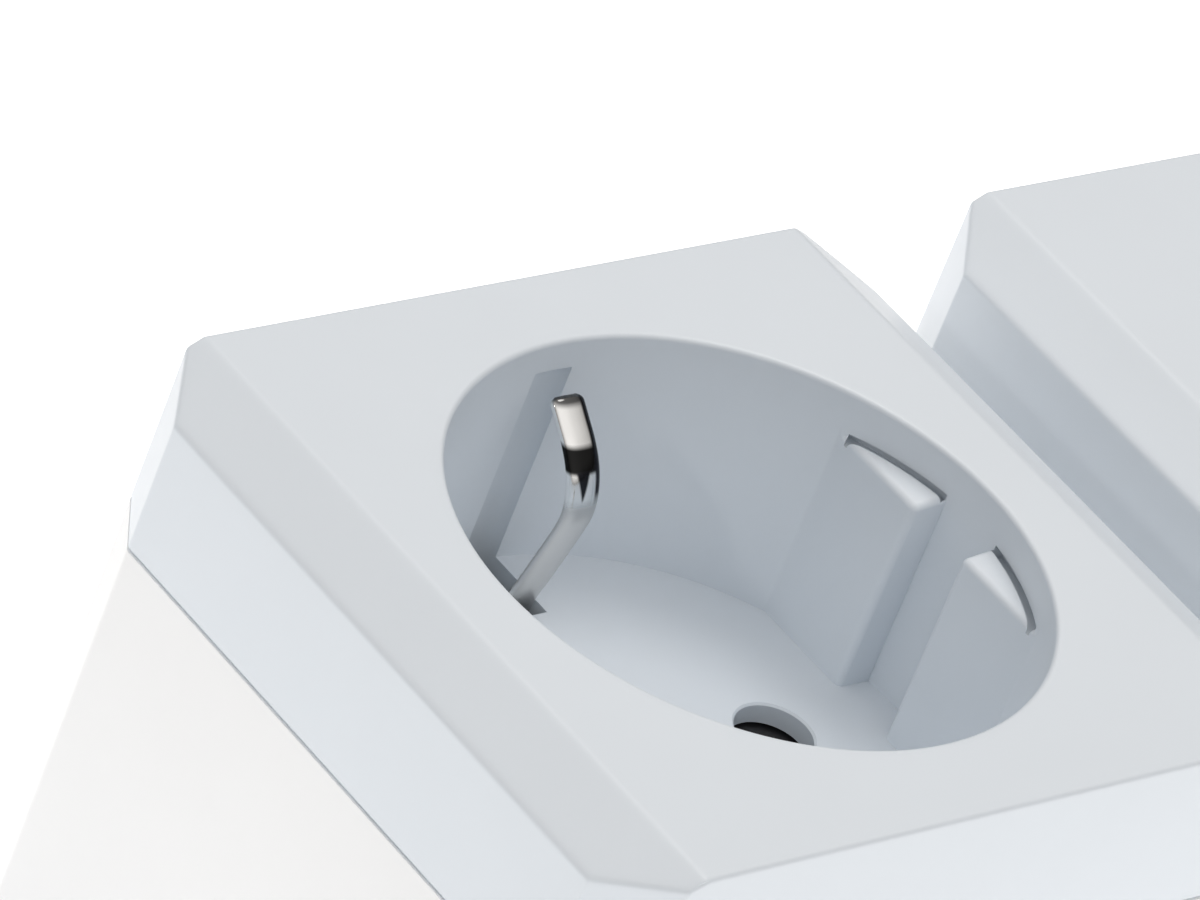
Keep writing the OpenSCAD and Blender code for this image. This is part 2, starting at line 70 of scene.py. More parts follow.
# ---------------------------------------------------------------- camera and light

WARM = (1.0, 0.975, 0.95)
# the colour sockets of a Mix node, by their place
MIX_A, MIX_B, MIX_RESULT = 6, 7, 2


def add_camera():
    """The photograph's close view of the first socket, from the front left and above."""
    data = bpy.data.cameras.new("camera")
    data.lens = 300
    data.sensor_width = 36
    camera = bpy.data.objects.new("camera", data)
    bpy.context.scene.collection.objects.link(camera)
    well = Vector((SOCKET_X[1], 0, TOP))
    camera.location = (well + Vector((-395.24, -312.4, 331.06))) * MM
    camera.rotation_euler = Euler([math.radians(a) for a in (54.76, -18.455, -37.873)])
    bpy.context.scene.camera = camera


def add_light(data, location, target):
    """Places a warm light, in metres, and turns it towards target."""
    data.color = WARM
    light = bpy.data.objects.new(data.name, data)
    light.location = location
    light.rotation_euler = (Vector(target) - Vector(location)).to_track_quat("-Z", "Y").to_euler()
    bpy.context.scene.collection.objects.link(light)


def add_overhead():
    """A large disc high above the block, a little to the right and to the back."""
    data = bpy.data.lights.new("overhead", "AREA")
    data.shape = "DISK"
    data.size = 0.45
    data.energy = 2.6
    add_light(data, (0.3, 0.24, 1.07), (-0.03, 0, 0.03))


def add_well_wash():
    """A narrow soft beam from the left onto the far wall of the first well."""
    data = bpy.data.lights.new("well_wash", "SPOT")
    data.spot_size = math.radians(4.6)
    data.spot_blend = 1.0
    data.shadow_soft_size = 0.05
    data.energy = 7.0
    add_light(data, (-0.595, 0.03, 0.324), (-0.047, 0, 0.036))


def add_ramp(tree, fac, stops):
    """A colour ramp over fac with stops of (place, colour), from low to high. Returns its colour socket."""
    ramp = tree.nodes.new("ShaderNodeValToRGB")
    elements = ramp.color_ramp.elements
    while len(elements) < len(stops):
        elements.new(1.0)
    for element, (place, colour) in zip(elements, stops):
        element.position = place
        element.color = (*colour, 1)
    tree.links.new(fac, ramp.inputs[0])
    return ramp.outputs[0]


def add_world():
    """Soft sky, dark low down all round, and brighter past the front and back than past the row's ends."""
    world = bpy.data.worlds.new("studio")
    bpy.context.scene.world = world
    world.use_nodes = True
    tree = world.node_tree
    nodes, links = tree.nodes, tree.links
    background = nodes["Background"]
    coordinates = nodes.new("ShaderNodeTexCoord")
    split = nodes.new("ShaderNodeSeparateXYZ")
    links.new(coordinates.outputs["Generated"], split.inputs[0])
    # 0 straight down, 0.5 at the horizon and 1 straight up
    height = nodes.new("ShaderNodeMath")
    height.operation = "MULTIPLY_ADD"
    height.inputs[1].default_value = 0.5
    height.inputs[2].default_value = 0.5
    links.new(split.outputs["Z"], height.inputs[0])
    # 0 past the row's ends and 1 past its front and back
    sideways = nodes.new("ShaderNodeMath")
    sideways.operation = "MULTIPLY"
    links.new(split.outputs["Y"], sideways.inputs[0])
    links.new(split.outputs["Y"], sideways.inputs[1])
    mix = nodes.new("ShaderNodeMix")
    mix.data_type = "RGBA"
    links.new(sideways.outputs[0], mix.inputs["Factor"])
    past_ends = [(0.0, 0.3), (0.5, 0.02), (0.62, 0.03), (0.78, 0.24), (0.9, 0.5), (1.0, 0.6)]
    past_sides = [(0.0, 0.3), (0.5, 0.04), (0.6, 0.1), (0.7, 0.8), (0.85, 0.9), (1.0, 0.6)]
    for socket, levels in ((MIX_A, past_ends), (MIX_B, past_sides)):
        stops = [(place, [level * c for c in WARM]) for place, level in levels]
        links.new(add_ramp(tree, height.outputs[0], stops), mix.inputs[socket])
    links.new(mix.outputs[MIX_RESULT], background.inputs["Color"])
    background.inputs["Strength"].default_value = 1.45


# ---------------------------------------------------------------- materials


def new_material(name, colour, roughness, metallic=0.0):
    material = bpy.data.materials.new(name)
    material.use_nodes = True
    shader = material.node_tree.nodes["Principled BSDF"]
    shader.inputs["Base Color"].default_value = (*colour, 1)
    shader.inputs["Roughness"].default_value = roughness
    shader.inputs["Metallic"].default_value = metallic
    return material, shader


def noise(material, scale, detail=2.0, stretch=(1, 1, 1)):
    """Noise in the piece's own coordinates; scale is in cells per metre."""
    nodes, links = material.node_tree.nodes, material.node_tree.links
    coordinates = nodes.new("ShaderNodeTexCoord")
    mapping = nodes.new("ShaderNodeMapping")
    mapping.inputs["Scale"].default_value = stretch
    texture = nodes.new("ShaderNodeTexNoise")
    texture.inputs["Scale"].default_value = scale
    texture.inputs["Detail"].default_value = detail
    links.new(coordinates.outputs["Object"], mapping.inputs[0])
    links.new(mapping.outputs[0], texture.inputs["Vector"])
    return texture.outputs["Fac"]


def vary_colour(material, shader, fac, low, high):
    """Blends the base colour between two near shades by fac."""
    shade = add_ramp(material.node_tree, fac, [(0.3, low), (0.7, high)])
    material.node_tree.links.new(shade, shader.inputs["Base Color"])


def vary_roughness(material, shader, fac, low, high):
    """Spreads the roughness between low and high by fac."""
    span = material.node_tree.nodes.new("ShaderNodeMapRange")
    span.inputs["To Min"].default_value = low
    span.inputs["To Max"].default_value = high
    material.node_tree.links.new(fac, span.inputs["Value"])
    material.node_tree.links.new(span.outputs[0], shader.inputs["Roughness"])


def add_bump(material, shader, fac, height):
    """Shades fac as relief of the given height, in metres."""
    bump = material.node_tree.nodes.new("ShaderNodeBump")
    bump.inputs["Distance"].default_value = height
    material.node_tree.links.new(fac, bump.inputs["Height"])
    material.node_tree.links.new(bump.outputs[0], shader.inputs["Normal"])


def plastic(name, colour, roughness=0.4, grain=0.004 * MM, shade=0.985):
    """Moulded plastic: a faint spark-erosion grain, slow changes of tone and uneven gloss."""
    material, shader = new_material(name, colour, roughness)
    darker = tuple(c * shade for c in colour)
    vary_colour(material, shader, noise(material, 90, 3), darker, colour)
    vary_roughness(material, shader, noise(material, 900, 4), roughness - 0.05, roughness + 0.06)
    add_bump(material, shader, noise(material, 5200, 3), grain)
    return material


def metal(name, colour, roughness, stretch=(1, 1, 1), grain=0.003 * MM):
    """Stamped or plated metal with drawn scratches along one direction."""
    material, shader = new_material(name, colour, roughness, 1.0)
    darker = tuple(c * 0.86 for c in colour)
    vary_colour(material, shader, noise(material, 400, 4), darker, colour)
    vary_roughness(material, shader, noise(material, 2500, 3, stretch), roughness * 0.75, roughness * 1.3)
    add_bump(material, shader, noise(material, 4000, 2, stretch), grain)
    return material


def clip_nickel():
    """Nickel: satin on the leg and a polished head, with painted dark reflections round the bend, in a wedge
    below it and along one edge.
    """
    material, shader = new_material("clip_nickel", (0.74, 0.73, 0.7), 0.1, 1.0)
    tree = material.node_tree
    nodes, links = tree.nodes, tree.links
    depth = TOP - WELL_FLOOR

    def greys(stops, blue=1.0):
        """A tone that follows stops of (millimetres above the well's floor, value)."""
        return add_ramp(tree, height, [(up / depth, (value, value, value * blue)) for up, value in stops])

    def mixed(factor, first, second):
        mix = nodes.new("ShaderNodeMix")
        mix.data_type = "RGBA"
        links.new(factor, mix.inputs["Factor"])
        links.new(first, mix.inputs[MIX_A])
        mix.inputs[MIX_B].default_value = (*second, 1)
        return mix.outputs[MIX_RESULT]

    def maths(operation, *values):
        node = nodes.new("ShaderNodeMath")
        node.operation = operation
        node.use_clamp = operation == "MULTIPLY"
        for socket, value in zip(node.inputs, values):
            if isinstance(value, float):
                socket.default_value = value
            else:
                links.new(value, socket)
        return node.outputs[0]

    def spread(value, low, high, top=1.0):
        """From 0 to top as value goes from low to high."""
        node = nodes.new("ShaderNodeMapRange")
        for name, number in (("From Min", low), ("From Max", high), ("To Min", 0.0), ("To Max", top)):
            node.inputs[name].default_value = number
        links.new(value, node.inputs["Value"])
        return node.outputs[0]

    def rise(low, high, top=1.0):
        """From 0 to top between two heights, in millimetres above the well's floor."""
        return spread(height, low / depth, high / depth, top)

    coordinates = nodes.new("ShaderNodeTexCoord")
    split = nodes.new("ShaderNodeSeparateXYZ")
    links.new(coordinates.outputs["Object"], split.inputs[0])
    height = spread(split.outputs["Z"], WELL_FLOOR * MM, TOP * MM)
    leg_end, wedge_tip, head_start, bend_low, bend_high, tip = 9.2, 9.7, 9.9, 11.5, 12.6, 14.5
    gloss = greys([(0, 0.34), (leg_end, 0.34), (head_start, 0.14), (depth, 0.1)])
    # painted dark reflection: the head's tone drops nearly to black between bend_low and bend_high; it is
    # also darker at the tip
    tone = greys([(0, 0.64), (leg_end, 0.66), (head_start, 0.97), (bend_low - 0.2, 0.97), (bend_low, 0.02),
                  (bend_high, 0.02), (bend_high + 0.25, 0.98), (tip - 0.25, 0.98), (tip, 0.12)], 0.99)
    # how far a point lies from its clip's middle towards +X
    half_pitch = (SOCKET_X[2] - SOCKET_X[1]) / 2 * MM
    across = maths("WRAP", split.outputs["X"], half_pitch, -half_pitch)
    # a painted dark reflection: a wedge that narrows downwards from the bend
    aside = maths("ABSOLUTE", maths("ADD", across, 0.3 * MM))
    width = rise(wedge_tip, bend_low, 0.5 * MM)
    painted_reflection_wedge = spread(maths("SUBTRACT", width, aside), -0.08 * MM, 0.08 * MM)
    painted_reflection_wedge = maths("MULTIPLY", painted_reflection_wedge, rise(wedge_tip, head_start))
    painted_reflection_wedge = maths("MULTIPLY", painted_reflection_wedge, rise(bend_low + 0.1, bend_low))
    # a painted dark reflection along the head's +X edge
    edge = maths("MULTIPLY", spread(across, 0.6 * MM, 0.78 * MM), rise(leg_end, leg_end + 1))
    colour = mixed(painted_reflection_wedge, tone, (0.03, 0.03, 0.035))
    colour = mixed(edge, colour, (0.02, 0.021, 0.028))
    links.new(colour, shader.inputs["Base Color"])
    links.new(gloss, shader.inputs["Roughness"])
    add_bump(material, shader, noise(material, 3000, 2, (1, 1, 0.08)), 0.001 * MM)
    return material


MATERIALS = {
    "cover_white": plastic("cover_white", (0.785, 0.838, 0.893), 0.36),
    "base_white": plastic("base_white", (0.93, 0.94, 0.95), 0.38),
    "plate_grey": plastic("plate_grey", (0.62, 0.64, 0.65), 0.5, 0.02 * MM, 0.96),
    "gland_grey": plastic("gland_grey", (0.4, 0.41, 0.42), 0.55, 0.015 * MM, 0.95),
    "carrier_ivory": plastic("carrier_ivory", (0.66, 0.62, 0.53), 0.5, 0.01 * MM, 0.93),
    "shutter_black": plastic("shutter_black", (0.012, 0.012, 0.014), 0.45, 0.008 * MM, 0.8),
    "foot_rubber": plastic("foot_rubber", (0.035, 0.035, 0.037), 0.75, 0.03 * MM, 0.8),
    "clip_nickel": clip_nickel(),
    "bar_brass": metal("bar_brass", (0.72, 0.52, 0.24), 0.3, (0.1, 1, 1)),
    "contact_bronze": metal("contact_bronze", (0.66, 0.38, 0.2), 0.32, (1, 1, 0.1)),
    "zinc_steel": metal("zinc_steel", (0.6, 0.62, 0.65), 0.28),
    "spring_steel": metal("spring_steel", (0.45, 0.45, 0.46), 0.25),
}

# ---------------------------------------------------------------- mesh helpers


def finish_piece(mesh, name, material_slot, replaces, body="housing", angle=35):
    """Makes a smooth-shaded piece that stands for a CAD node, with weighted normals on its flat faces."""
    mesh.materials.clear()
    mesh.materials.append(MATERIALS[material_slot])
    mesh.shade_smooth()
    mesh.set_sharp_from_angle(angle=math.radians(angle))
    piece = bpy.data.objects.new(name, mesh)
    bpy.context.scene.collection.objects.link(piece)
    weighted = piece.modifiers.new("weighted", "WEIGHTED_NORMAL")
    weighted.keep_sharp = True
    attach(piece, body)
    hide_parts(replaces)
    return piece


def skin(bm, rings):
    """Joins closed rings of vertices with quads, each ring to the next."""
    for low, high in zip(rings, rings[1:]):
        for k in range(len(low)):
            m = (k + 1) % len(low)
            bm.faces.new((low[k], low[m], high[m], high[k]))


def solid(bm, rings):
    """Joins closed rings of vertices and closes both ends with a flat face."""
    skin(bm, rings)
    bm.faces.new(rings[0][::-1])
    bm.faces.new(rings[-1])


def loops_to_bmesh(loops):
    """A tube of quads through loops of points, in millimetres, with a fan to the middle of each end loop."""
    bm = bmesh.new()
    rings = [[bm.verts.new(Vector(p) * MM) for p in loop] for loop in loops]
    n = len(rings[0])
    skin(bm, rings)
    for ring, turn in ((rings[0], -1), (rings[-1], 1)):
        middle = bm.verts.new(sum((v.co for v in ring), Vector()) / n)
        for k in range(n):
            pair = (ring[k], ring[(k + 1) % n])[::turn]
            bm.faces.new((*pair, middle))
    bmesh.ops.remove_doubles(bm, verts=bm.verts, dist=0.004 * MM)
    bmesh.ops.recalc_face_normals(bm, faces=bm.faces)
    return bm


def merge(target, source):
    """Adds one bmesh to another and frees it."""
    mesh = bpy.data.meshes.new("merged")
    source.to_mesh(mesh)
    source.free()
    target.from_mesh(mesh)
    bpy.data.meshes.remove(mesh)


def bmesh_object(bm, name):
    """Makes an object of a bmesh, which is freed."""
    mesh = bpy.data.meshes.new(name)
    bm.to_mesh(mesh)
    bm.free()
    piece = bpy.data.objects.new(name, mesh)
    bpy.context.scene.collection.objects.link(piece)
    return piece


def boolean(target, tool, operation):
    """Applies one exact boolean to target's mesh and removes the tool."""
    modifier = target.modifiers.new("cut", "BOOLEAN")
    modifier.operation = operation
    modifier.solver = "EXACT"
    modifier.object = tool
    graph = bpy.context.evaluated_depsgraph_get()
    graph.update()
    mesh = bpy.data.meshes.new_from_object(target.evaluated_get(graph))
    target.modifiers.clear()
    target.data = mesh
    bpy.data.objects.remove(tool)


def block(bm, low, high):
    """Adds to bm an axis-aligned block from its two corners, in millimetres."""
    low, high = Vector(low), Vector(high)
    for v in bmesh.ops.create_cube(bm, size=1)["verts"]:
        v.co = Vector(low[k] + (v.co[k] + 0.5) * (high[k] - low[k]) for k in range(3)) * MM


def turned(bm, profile, centre, segments=64):
    """Adds to bm a solid of revolution about an upright axis, from (radius, z) points in millimetres."""
    angles = [2 * math.pi * k / segments for k in range(segments)]
    x, y = centre
    solid(bm, [[bm.verts.new(Vector((x + r * math.cos(a), y + r * math.sin(a), z)) * MM) for a in angles]
               for r, z in profile])


# ---------------------------------------------------------------- socket cover

HALF_L, HALF_W = (centre_mm("socket_cover_1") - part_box("socket_cover_1")[0] / MM)[:2]
CUT_X, CUT_Y, CORNER_R = 3.5, 4.5, 0.4
SLANT = math.hypot(CUT_X, CUT_Y)
BEVEL_W, BEVEL_DROP = 4.55, 2.55
BEVEL_SLOPE = BEVEL_DROP / BEVEL_W
FLAT_X = HALF_L - BEVEL_W
WALL = 2.2
TOP_UNDER = TOP - 2.6
WELL_R, CUP_R, RIM = 19.5, 21.0, 0.35
EDGE, CREASE, SEAM_GAP = 0.28, 0.14, 0.2
RIB_FACE, RIB_START, RIB_END = 16.75, 2.4, 10.3
RIB_TOP, RIB_SLOPE = TOP - 3, 0.13
SLIT_START, SLIT_END, SLIT_DEPTH = 2.5, 9.6, 0.9
BOSS_X, BOSS_Y, BOSS_R = 23.2, 20.2, 2.7
STUD_Y, STUD_R, STUD_LOW = 8, 2.2, 19.2
SCREW_R = 1.1
PIN_X, PIN_R, PIN_BREAK = 9.5, 2.65, 0.14
POCKET_HALF, POCKET_FRONT, POCKET_BACK, POCKET_ROUND = 1.5, 13.9, 19.5, 1.47
BACKING_HALF, BACKING_FRONT, BACKING_BACK = 3.2, 19.9, 22


def corner_centres(inset, r):
    """Middles of the two small rounds of the tower's corner in +X +Y, with its sides moved in by inset."""
    spare = (inset + r) * (CUT_X + CUT_Y - SLANT)
    half_l, half_w = HALF_L - inset - r, HALF_W - inset - r
    return (half_l, half_w - CUT_Y + spare / CUT_X), (half_l - CUT_X + spare / CUT_Y, half_w)


def outline(inset=0.0):
    """Points anticlockwise round the tower, whose corners are cut across and softened, moved in by inset."""
    r = max(CORNER_R - inset, 0.2)
    side, end = corner_centres(inset, r)
    turn = math.degrees(math.atan2(CUT_X, CUT_Y))
    arcs = []
    for x, y, start in ((1, 1, 0), (-1, 1, 90), (-1, -1, 180), (1, -1, 270)):
        pair = [(x * side[0], y * side[1]), (x * end[0], y * end[1])]
        first = turn
        if x * y < 0:
            pair.reverse()
            first = 90 - turn
        arcs += [(pair[0], start, first), (pair[1], start + first, 90 - first)]
    points = []
    for n, ((cx, cy), start, sweep) in enumerate(arcs):
        for k in range(9):
            a = math.radians(start + sweep * k / 8)
            points.append((cx + r * math.cos(a), cy + r * math.sin(a)))
        (nx, ny), following, _ = arcs[(n + 1) % len(arcs)]
        a = math.radians(following)
        goal = (nx + r * math.cos(a), ny + r * math.sin(a))
        last = points[-1]
        # few points along a cut corner, many along a side
        steps = 6 if n % 2 == 0 else 40
        for k in range(1, steps):
            t = k / steps
            points.append((last[0] + (goal[0] - last[0]) * t, last[1] + (goal[1] - last[1]) * t))
    return np.array(points)


def round_max(a, b, r):
    """The larger of two distances, with a round edge of radius r where they meet."""
    return np.minimum(-r, np.maximum(a, b)) + np.hypot(np.maximum(a + r, 0), np.maximum(b + r, 0))


def outline_distance(x, y):
    """Distance from the tower's outline in plan, negative inside."""
    side, end = corner_centres(0, CORNER_R)
    step_x, step_y = side[0] - end[0], side[1] - end[1]
    span = math.hypot(step_x, step_y)
    x, y = np.abs(x), np.abs(y)
    slope = ((y - end[1]) * step_x - (x - end[0]) * step_y) / span
    inside = np.maximum(np.maximum(x - side[0], y - end[1]), slope)
    along = np.clip(((x - end[0]) * step_x + (y - end[1]) * step_y) / span ** 2, 0, 1)
    to_cut = np.hypot(x - end[0] - along * step_x, y - end[1] - along * step_y)
    to_end = np.hypot(x - side[0], np.maximum(y - side[1], 0))
    to_side = np.hypot(y - end[1], np.maximum(x - end[0], 0))
    outside = np.minimum(np.minimum(to_cut, to_end), to_side)
    return np.where(inside > 0, outside, inside) - CORNER_R


def tower_distance(p):
    """How far points lie outside the tower: upright walls, bevelled ends and a flat top, with soft edges."""
    walls = outline_distance(p[:, 0], p[:, 1])
    flat = p[:, 2] - TOP
    bevel = ((np.abs(p[:, 0]) - FLAT_X) * BEVEL_SLOPE + flat) / math.hypot(1, BEVEL_SLOPE)
    return round_max(walls, round_max(flat, bevel, CREASE), EDGE)


def settle(p):
    """Moves points onto the tower's rounded surface along its gradient."""
    step = 1e-4
    for _ in range(12):
        d = tower_distance(p)
        gradient = np.stack([(tower_distance(p + step * e) - d) / step for e in np.eye(3)], 1)
        p = p - gradient * (d / np.maximum((gradient ** 2).sum(1), 0.2))[:, None]
    return p


def cover_loops():
    """Loops of the cover: its underside from the middle outwards, its outside, its top, and down the well."""
    edge = [0.0, 0.12, 0.25, 0.4, 0.6, 0.85, 1.2, 1.8]
    wall_line = outline()
    angles = np.arctan2(wall_line[:, 1] * HALF_L / HALF_W, wall_line[:, 0])
    circle = np.stack([np.cos(angles), np.sin(angles)], 1)

    def level(xy, z):
        return np.column_stack([xy, np.broadcast_to(z, len(xy))])

    # inside: the cup's floor and wall, the underside of the top, the outer wall's back and its foot
    loops = [level(circle * r, FLOOR_UNDER) for r in (3, 10, CUP_R)]
    loops += [level(circle * CUP_R, z) for z in (27.3, TOP_UNDER)]
    inner = outline(WALL)
    loops += [level(inner, z) for z in (TOP_UNDER, SEAM)]
    loops += [level(outline(SEAM_GAP), z) for z in (SEAM, SEAM + SEAM_GAP)]
    soft = 0.08
    loops.append(level(outline(soft), SEAM + SEAM_GAP))
    loops.append(level(wall_line, SEAM + SEAM_GAP + soft))
    # outside: wall, then bevel, then the flat top up to the rim
    brow = TOP - np.maximum(np.abs(wall_line[:, 0]) - FLAT_X, 0) * BEVEL_SLOPE
    crease_line = np.column_stack([np.clip(wall_line[:, 0], -FLAT_X, FLAT_X), wall_line[:, 1]])
    rows = [level(wall_line, SEAM + 2), level(wall_line, SEAM + 5)]
    rows += [np.column_stack([wall_line, brow - e]) for e in edge[:0:-1]]
    shares = [0.0, 0.04, 0.09, 0.16, 0.3, 0.5, 0.72, 0.86, 0.93, 0.97, 1.0]
    for t in shares:
        rows.append(np.column_stack([wall_line + (crease_line - wall_line) * t, brow + (TOP - brow) * t]))
    rim_line = circle * (WELL_R + RIM)
    span = np.linalg.norm(rim_line - crease_line, axis=1)
    for e in (*edge[1:], 3.0):
        t = np.minimum(e / span, 0.9)[:, None]
        rows.append(level(crease_line + (rim_line - crease_line) * t, TOP))
    skin_loops = settle(np.concatenate(rows)).reshape(-1, len(wall_line), 3)
    loops += list(skin_loops)
    last = skin_loops[-1][:, :2]
    loops += [level(last + (rim_line - last) * t, TOP) for t in (0.5, 0.9)]
    # rim and well
    for k in range(6):
        a = math.pi / 2 * k / 5
        loops.append(level(circle * (WELL_R + RIM - RIM * math.sin(a)), TOP - RIM + RIM * math.cos(a)))
    loops += [level(circle * WELL_R, z) for z in (TOP - 2, TOP - 8, WELL_FLOOR + 2, WELL_FLOOR)]
    loops += [level(circle * r, WELL_FLOOR) for r in (19.2, 16, 8, 2)]
    return loops


def guide_ribs():
    """Four ribs with flat faces, sloping tops and soft edges, sunk into the well's wall."""
    soft, low = 0.5, WELL_FLOOR - 0.2
    # places along Y with the edges' radius there, which grows round the end that is seen
    stations = [(RIB_START + soft * (1 - math.sin(a)), soft * math.cos(a))
                for a in (math.pi / 2 * k / 5 for k in (4.6, 4, 3, 2, 1, 0))]
    stations += [(y, soft) for y in (4, 5.5, 7, 8.2, 9.2, RIB_END)]
    ribs = bmesh.new()
    for sx in (-1, 1):
        for sy in (-1, 1):
            loops = []
            for y, r in stations:
                inset = soft - r
                back = math.sqrt(20.3 ** 2 - y ** 2)
                brow = RIB_TOP - soft + RIB_SLOPE * soft
                round_edge = [(RIB_FACE + soft - r * math.cos(t), brow + r * math.sin(t))
                              for t in (math.radians(82) * k / 5 for k in range(6))]
                profile = [(back, low), (RIB_FACE + inset, low), *round_edge,
                           (back, RIB_TOP + RIB_SLOPE * (back - RIB_FACE) - inset)]
                loops.append([(sx * x, sy * y, z) for x, z in profile])
            merge(ribs, loops_to_bmesh(loops))
    bmesh.ops.recalc_face_normals(ribs, faces=ribs.faces)
    return bmesh_object(ribs, "ribs")


def rib_slits():
    """Arcs behind the ribs' tops, a little way into the well's wall."""
    slits = bmesh.new()
    near, far, low = WELL_R - 0.4, WELL_R + SLIT_DEPTH, TOP - 3.6
    first, last = math.asin(SLIT_START / WELL_R), math.asin(SLIT_END / WELL_R)
    for middle, turn in ((0, 1), (0, -1), (math.pi, 1), (math.pi, -1)):
        rings = []
        for k in range(25):
            a = first + (last - first) * k / 24
            high = RIB_TOP + RIB_SLOPE * (WELL_R * math.cos(a) - RIB_FACE) + 0.14
            x, y = math.cos(middle + turn * a), math.sin(middle + turn * a)
            rings.append([slits.verts.new(Vector((r * x, r * y, z)) * MM)
                          for r, z in ((near, low), (far, low), (far, high), (near, high))])
        solid(slits, rings)
    bmesh.ops.recalc_face_normals(slits, faces=slits.faces)
    return bmesh_object(slits, "slits")


def cover_bosses():
    """Screw bosses of the cover, the studs under its floor and the walls behind the clip pockets."""
    bm = bmesh.new()
    for sx in (-1, 1):
        for sy in (-1, 1):
            turned(bm, [(BOSS_R, SEAM), (BOSS_R, TOP - 2.2)], (sx * BOSS_X, sy * BOSS_Y), 40)
        turned(bm, [(STUD_R, STUD_LOW), (STUD_R, FLOOR_UNDER + 0.3)], (0, sx * STUD_Y), 40)
        low_y, high_y = sorted((sx * BACKING_FRONT, sx * BACKING_BACK))
        block(bm, (-BACKING_HALF, low_y, FLOOR_UNDER + 0.02), (BACKING_HALF, high_y, TOP - 0.7))
    bmesh.ops.recalc_face_normals(bm, faces=bm.faces)
    return bmesh_object(bm, "bosses")


def cover_cuts():
    """Pin holes with a broken edge, clip pockets with their floor slots, and screw holes."""
    bm = bmesh.new()
    under = FLOOR_UNDER - 1
    pin = [(PIN_R, under), (PIN_R, WELL_FLOOR - PIN_BREAK), (PIN_R + PIN_BREAK, WELL_FLOOR),
           (2.9, WELL_FLOOR + 1)]
    turns = [math.pi * k / 16 for k in range(17)]
    pocket = [(POCKET_HALF, POCKET_FRONT)]
    pocket += [(POCKET_HALF * math.cos(a), POCKET_BACK + POCKET_ROUND * math.sin(a)) for a in turns]
    pocket += [(-POCKET_HALF, POCKET_FRONT)]
    for s in (-1, 1):
        turned(bm, pin, (s * PIN_X, 0), 72)
        solid(bm, [[bm.verts.new(Vector((x, s * y, z)) * MM) for x, y in pocket] for z in (under, TOP - 2.3)])
        turned(bm, [(SCREW_R, STUD_LOW - 1.2), (SCREW_R, FLOOR_UNDER - 0.4)], (0, s * STUD_Y), 24)
        for t in (-1, 1):
            turned(bm, [(SCREW_R, SEAM - 1), (SCREW_R, SEAM + 7.5)], (s * BOSS_X, t * BOSS_Y), 24)
    bmesh.ops.recalc_face_normals(bm, faces=bm.faces)
    return bmesh_object(bm, "cuts")


def build_covers():
    """One shell, finished once and copied to each socket."""
    shell = bmesh_object(loops_to_bmesh(cover_loops()), "cover_shell")
    boolean(shell, cover_bosses(), "UNION")
    boolean(shell, guide_ribs(), "UNION")
    boolean(shell, cover_cuts(), "DIFFERENCE")
    boolean(shell, rib_slits(), "DIFFERENCE")
    for i in WAYS:
        mesh = shell.data.copy()
        mesh.transform(Matrix.Translation((SOCKET_X[i] * MM, 0, 0)))
        finish_piece(mesh, f"cover_{i}", "cover_white", f"socket_cover_{i}")
    bpy.data.objects.remove(shell)


# ---------------------------------------------------------------- earth clips

CLIP_W, CLIP_T = 2.6, 0.9
ROOT_Y, ROOT_Z, ROOT_R = 15.4, 19.85, 0.55


def clip_path():
    """The clip's side view from its root up to the tip behind the bend, as smooth (y, z) points."""
    knots = [(ROOT_Y, ROOT_Z), (15.15, WELL_FLOOR), (14.58, WELL_FLOOR + 2.6), (14.02, WELL_FLOOR + 5.1),
             (13.55, WELL_FLOOR + 7.3), (13.4, WELL_FLOOR + 8.5), (13.55, WELL_FLOOR + 9.6),
             (13.98, WELL_FLOOR + 10.75), (14.66, WELL_FLOOR + 11.8), (15.55, TOP - 4.8), (16.45, TOP - 4.1),
             (17.2, TOP - 3.52), (17.85, TOP - 3.02)]
    points = []
    for k in range(len(knots) - 1):
        a, b, c, d = (np.array(knots[min(max(j, 0), len(knots) - 1)]) for j in (k - 1, k, k + 1, k + 2))
        for t in np.linspace(0, 1, 8, endpoint=False):
            points.append(0.5 * (2 * b + (c - a) * t + (2 * a - 5 * b + 4 * c - d) * t ** 2
                                 + (3 * b - a - 3 * c + d) * t ** 3))
    points.append(np.array(knots[-1]))
    return points


def clip_section(width, thick, n=32):
    """A flat strip's section with a domed face and well-rounded edges: a superellipse."""
    out = []
    for k in range(n):
        a = 2 * math.pi * k / n
        c, s = math.cos(a), math.sin(a)
        x, y = math.copysign(abs(c) ** 0.75, c), math.copysign(abs(s) ** 0.9, s)
        out.append((width / 2 * x, thick / 2 * y))
    return out


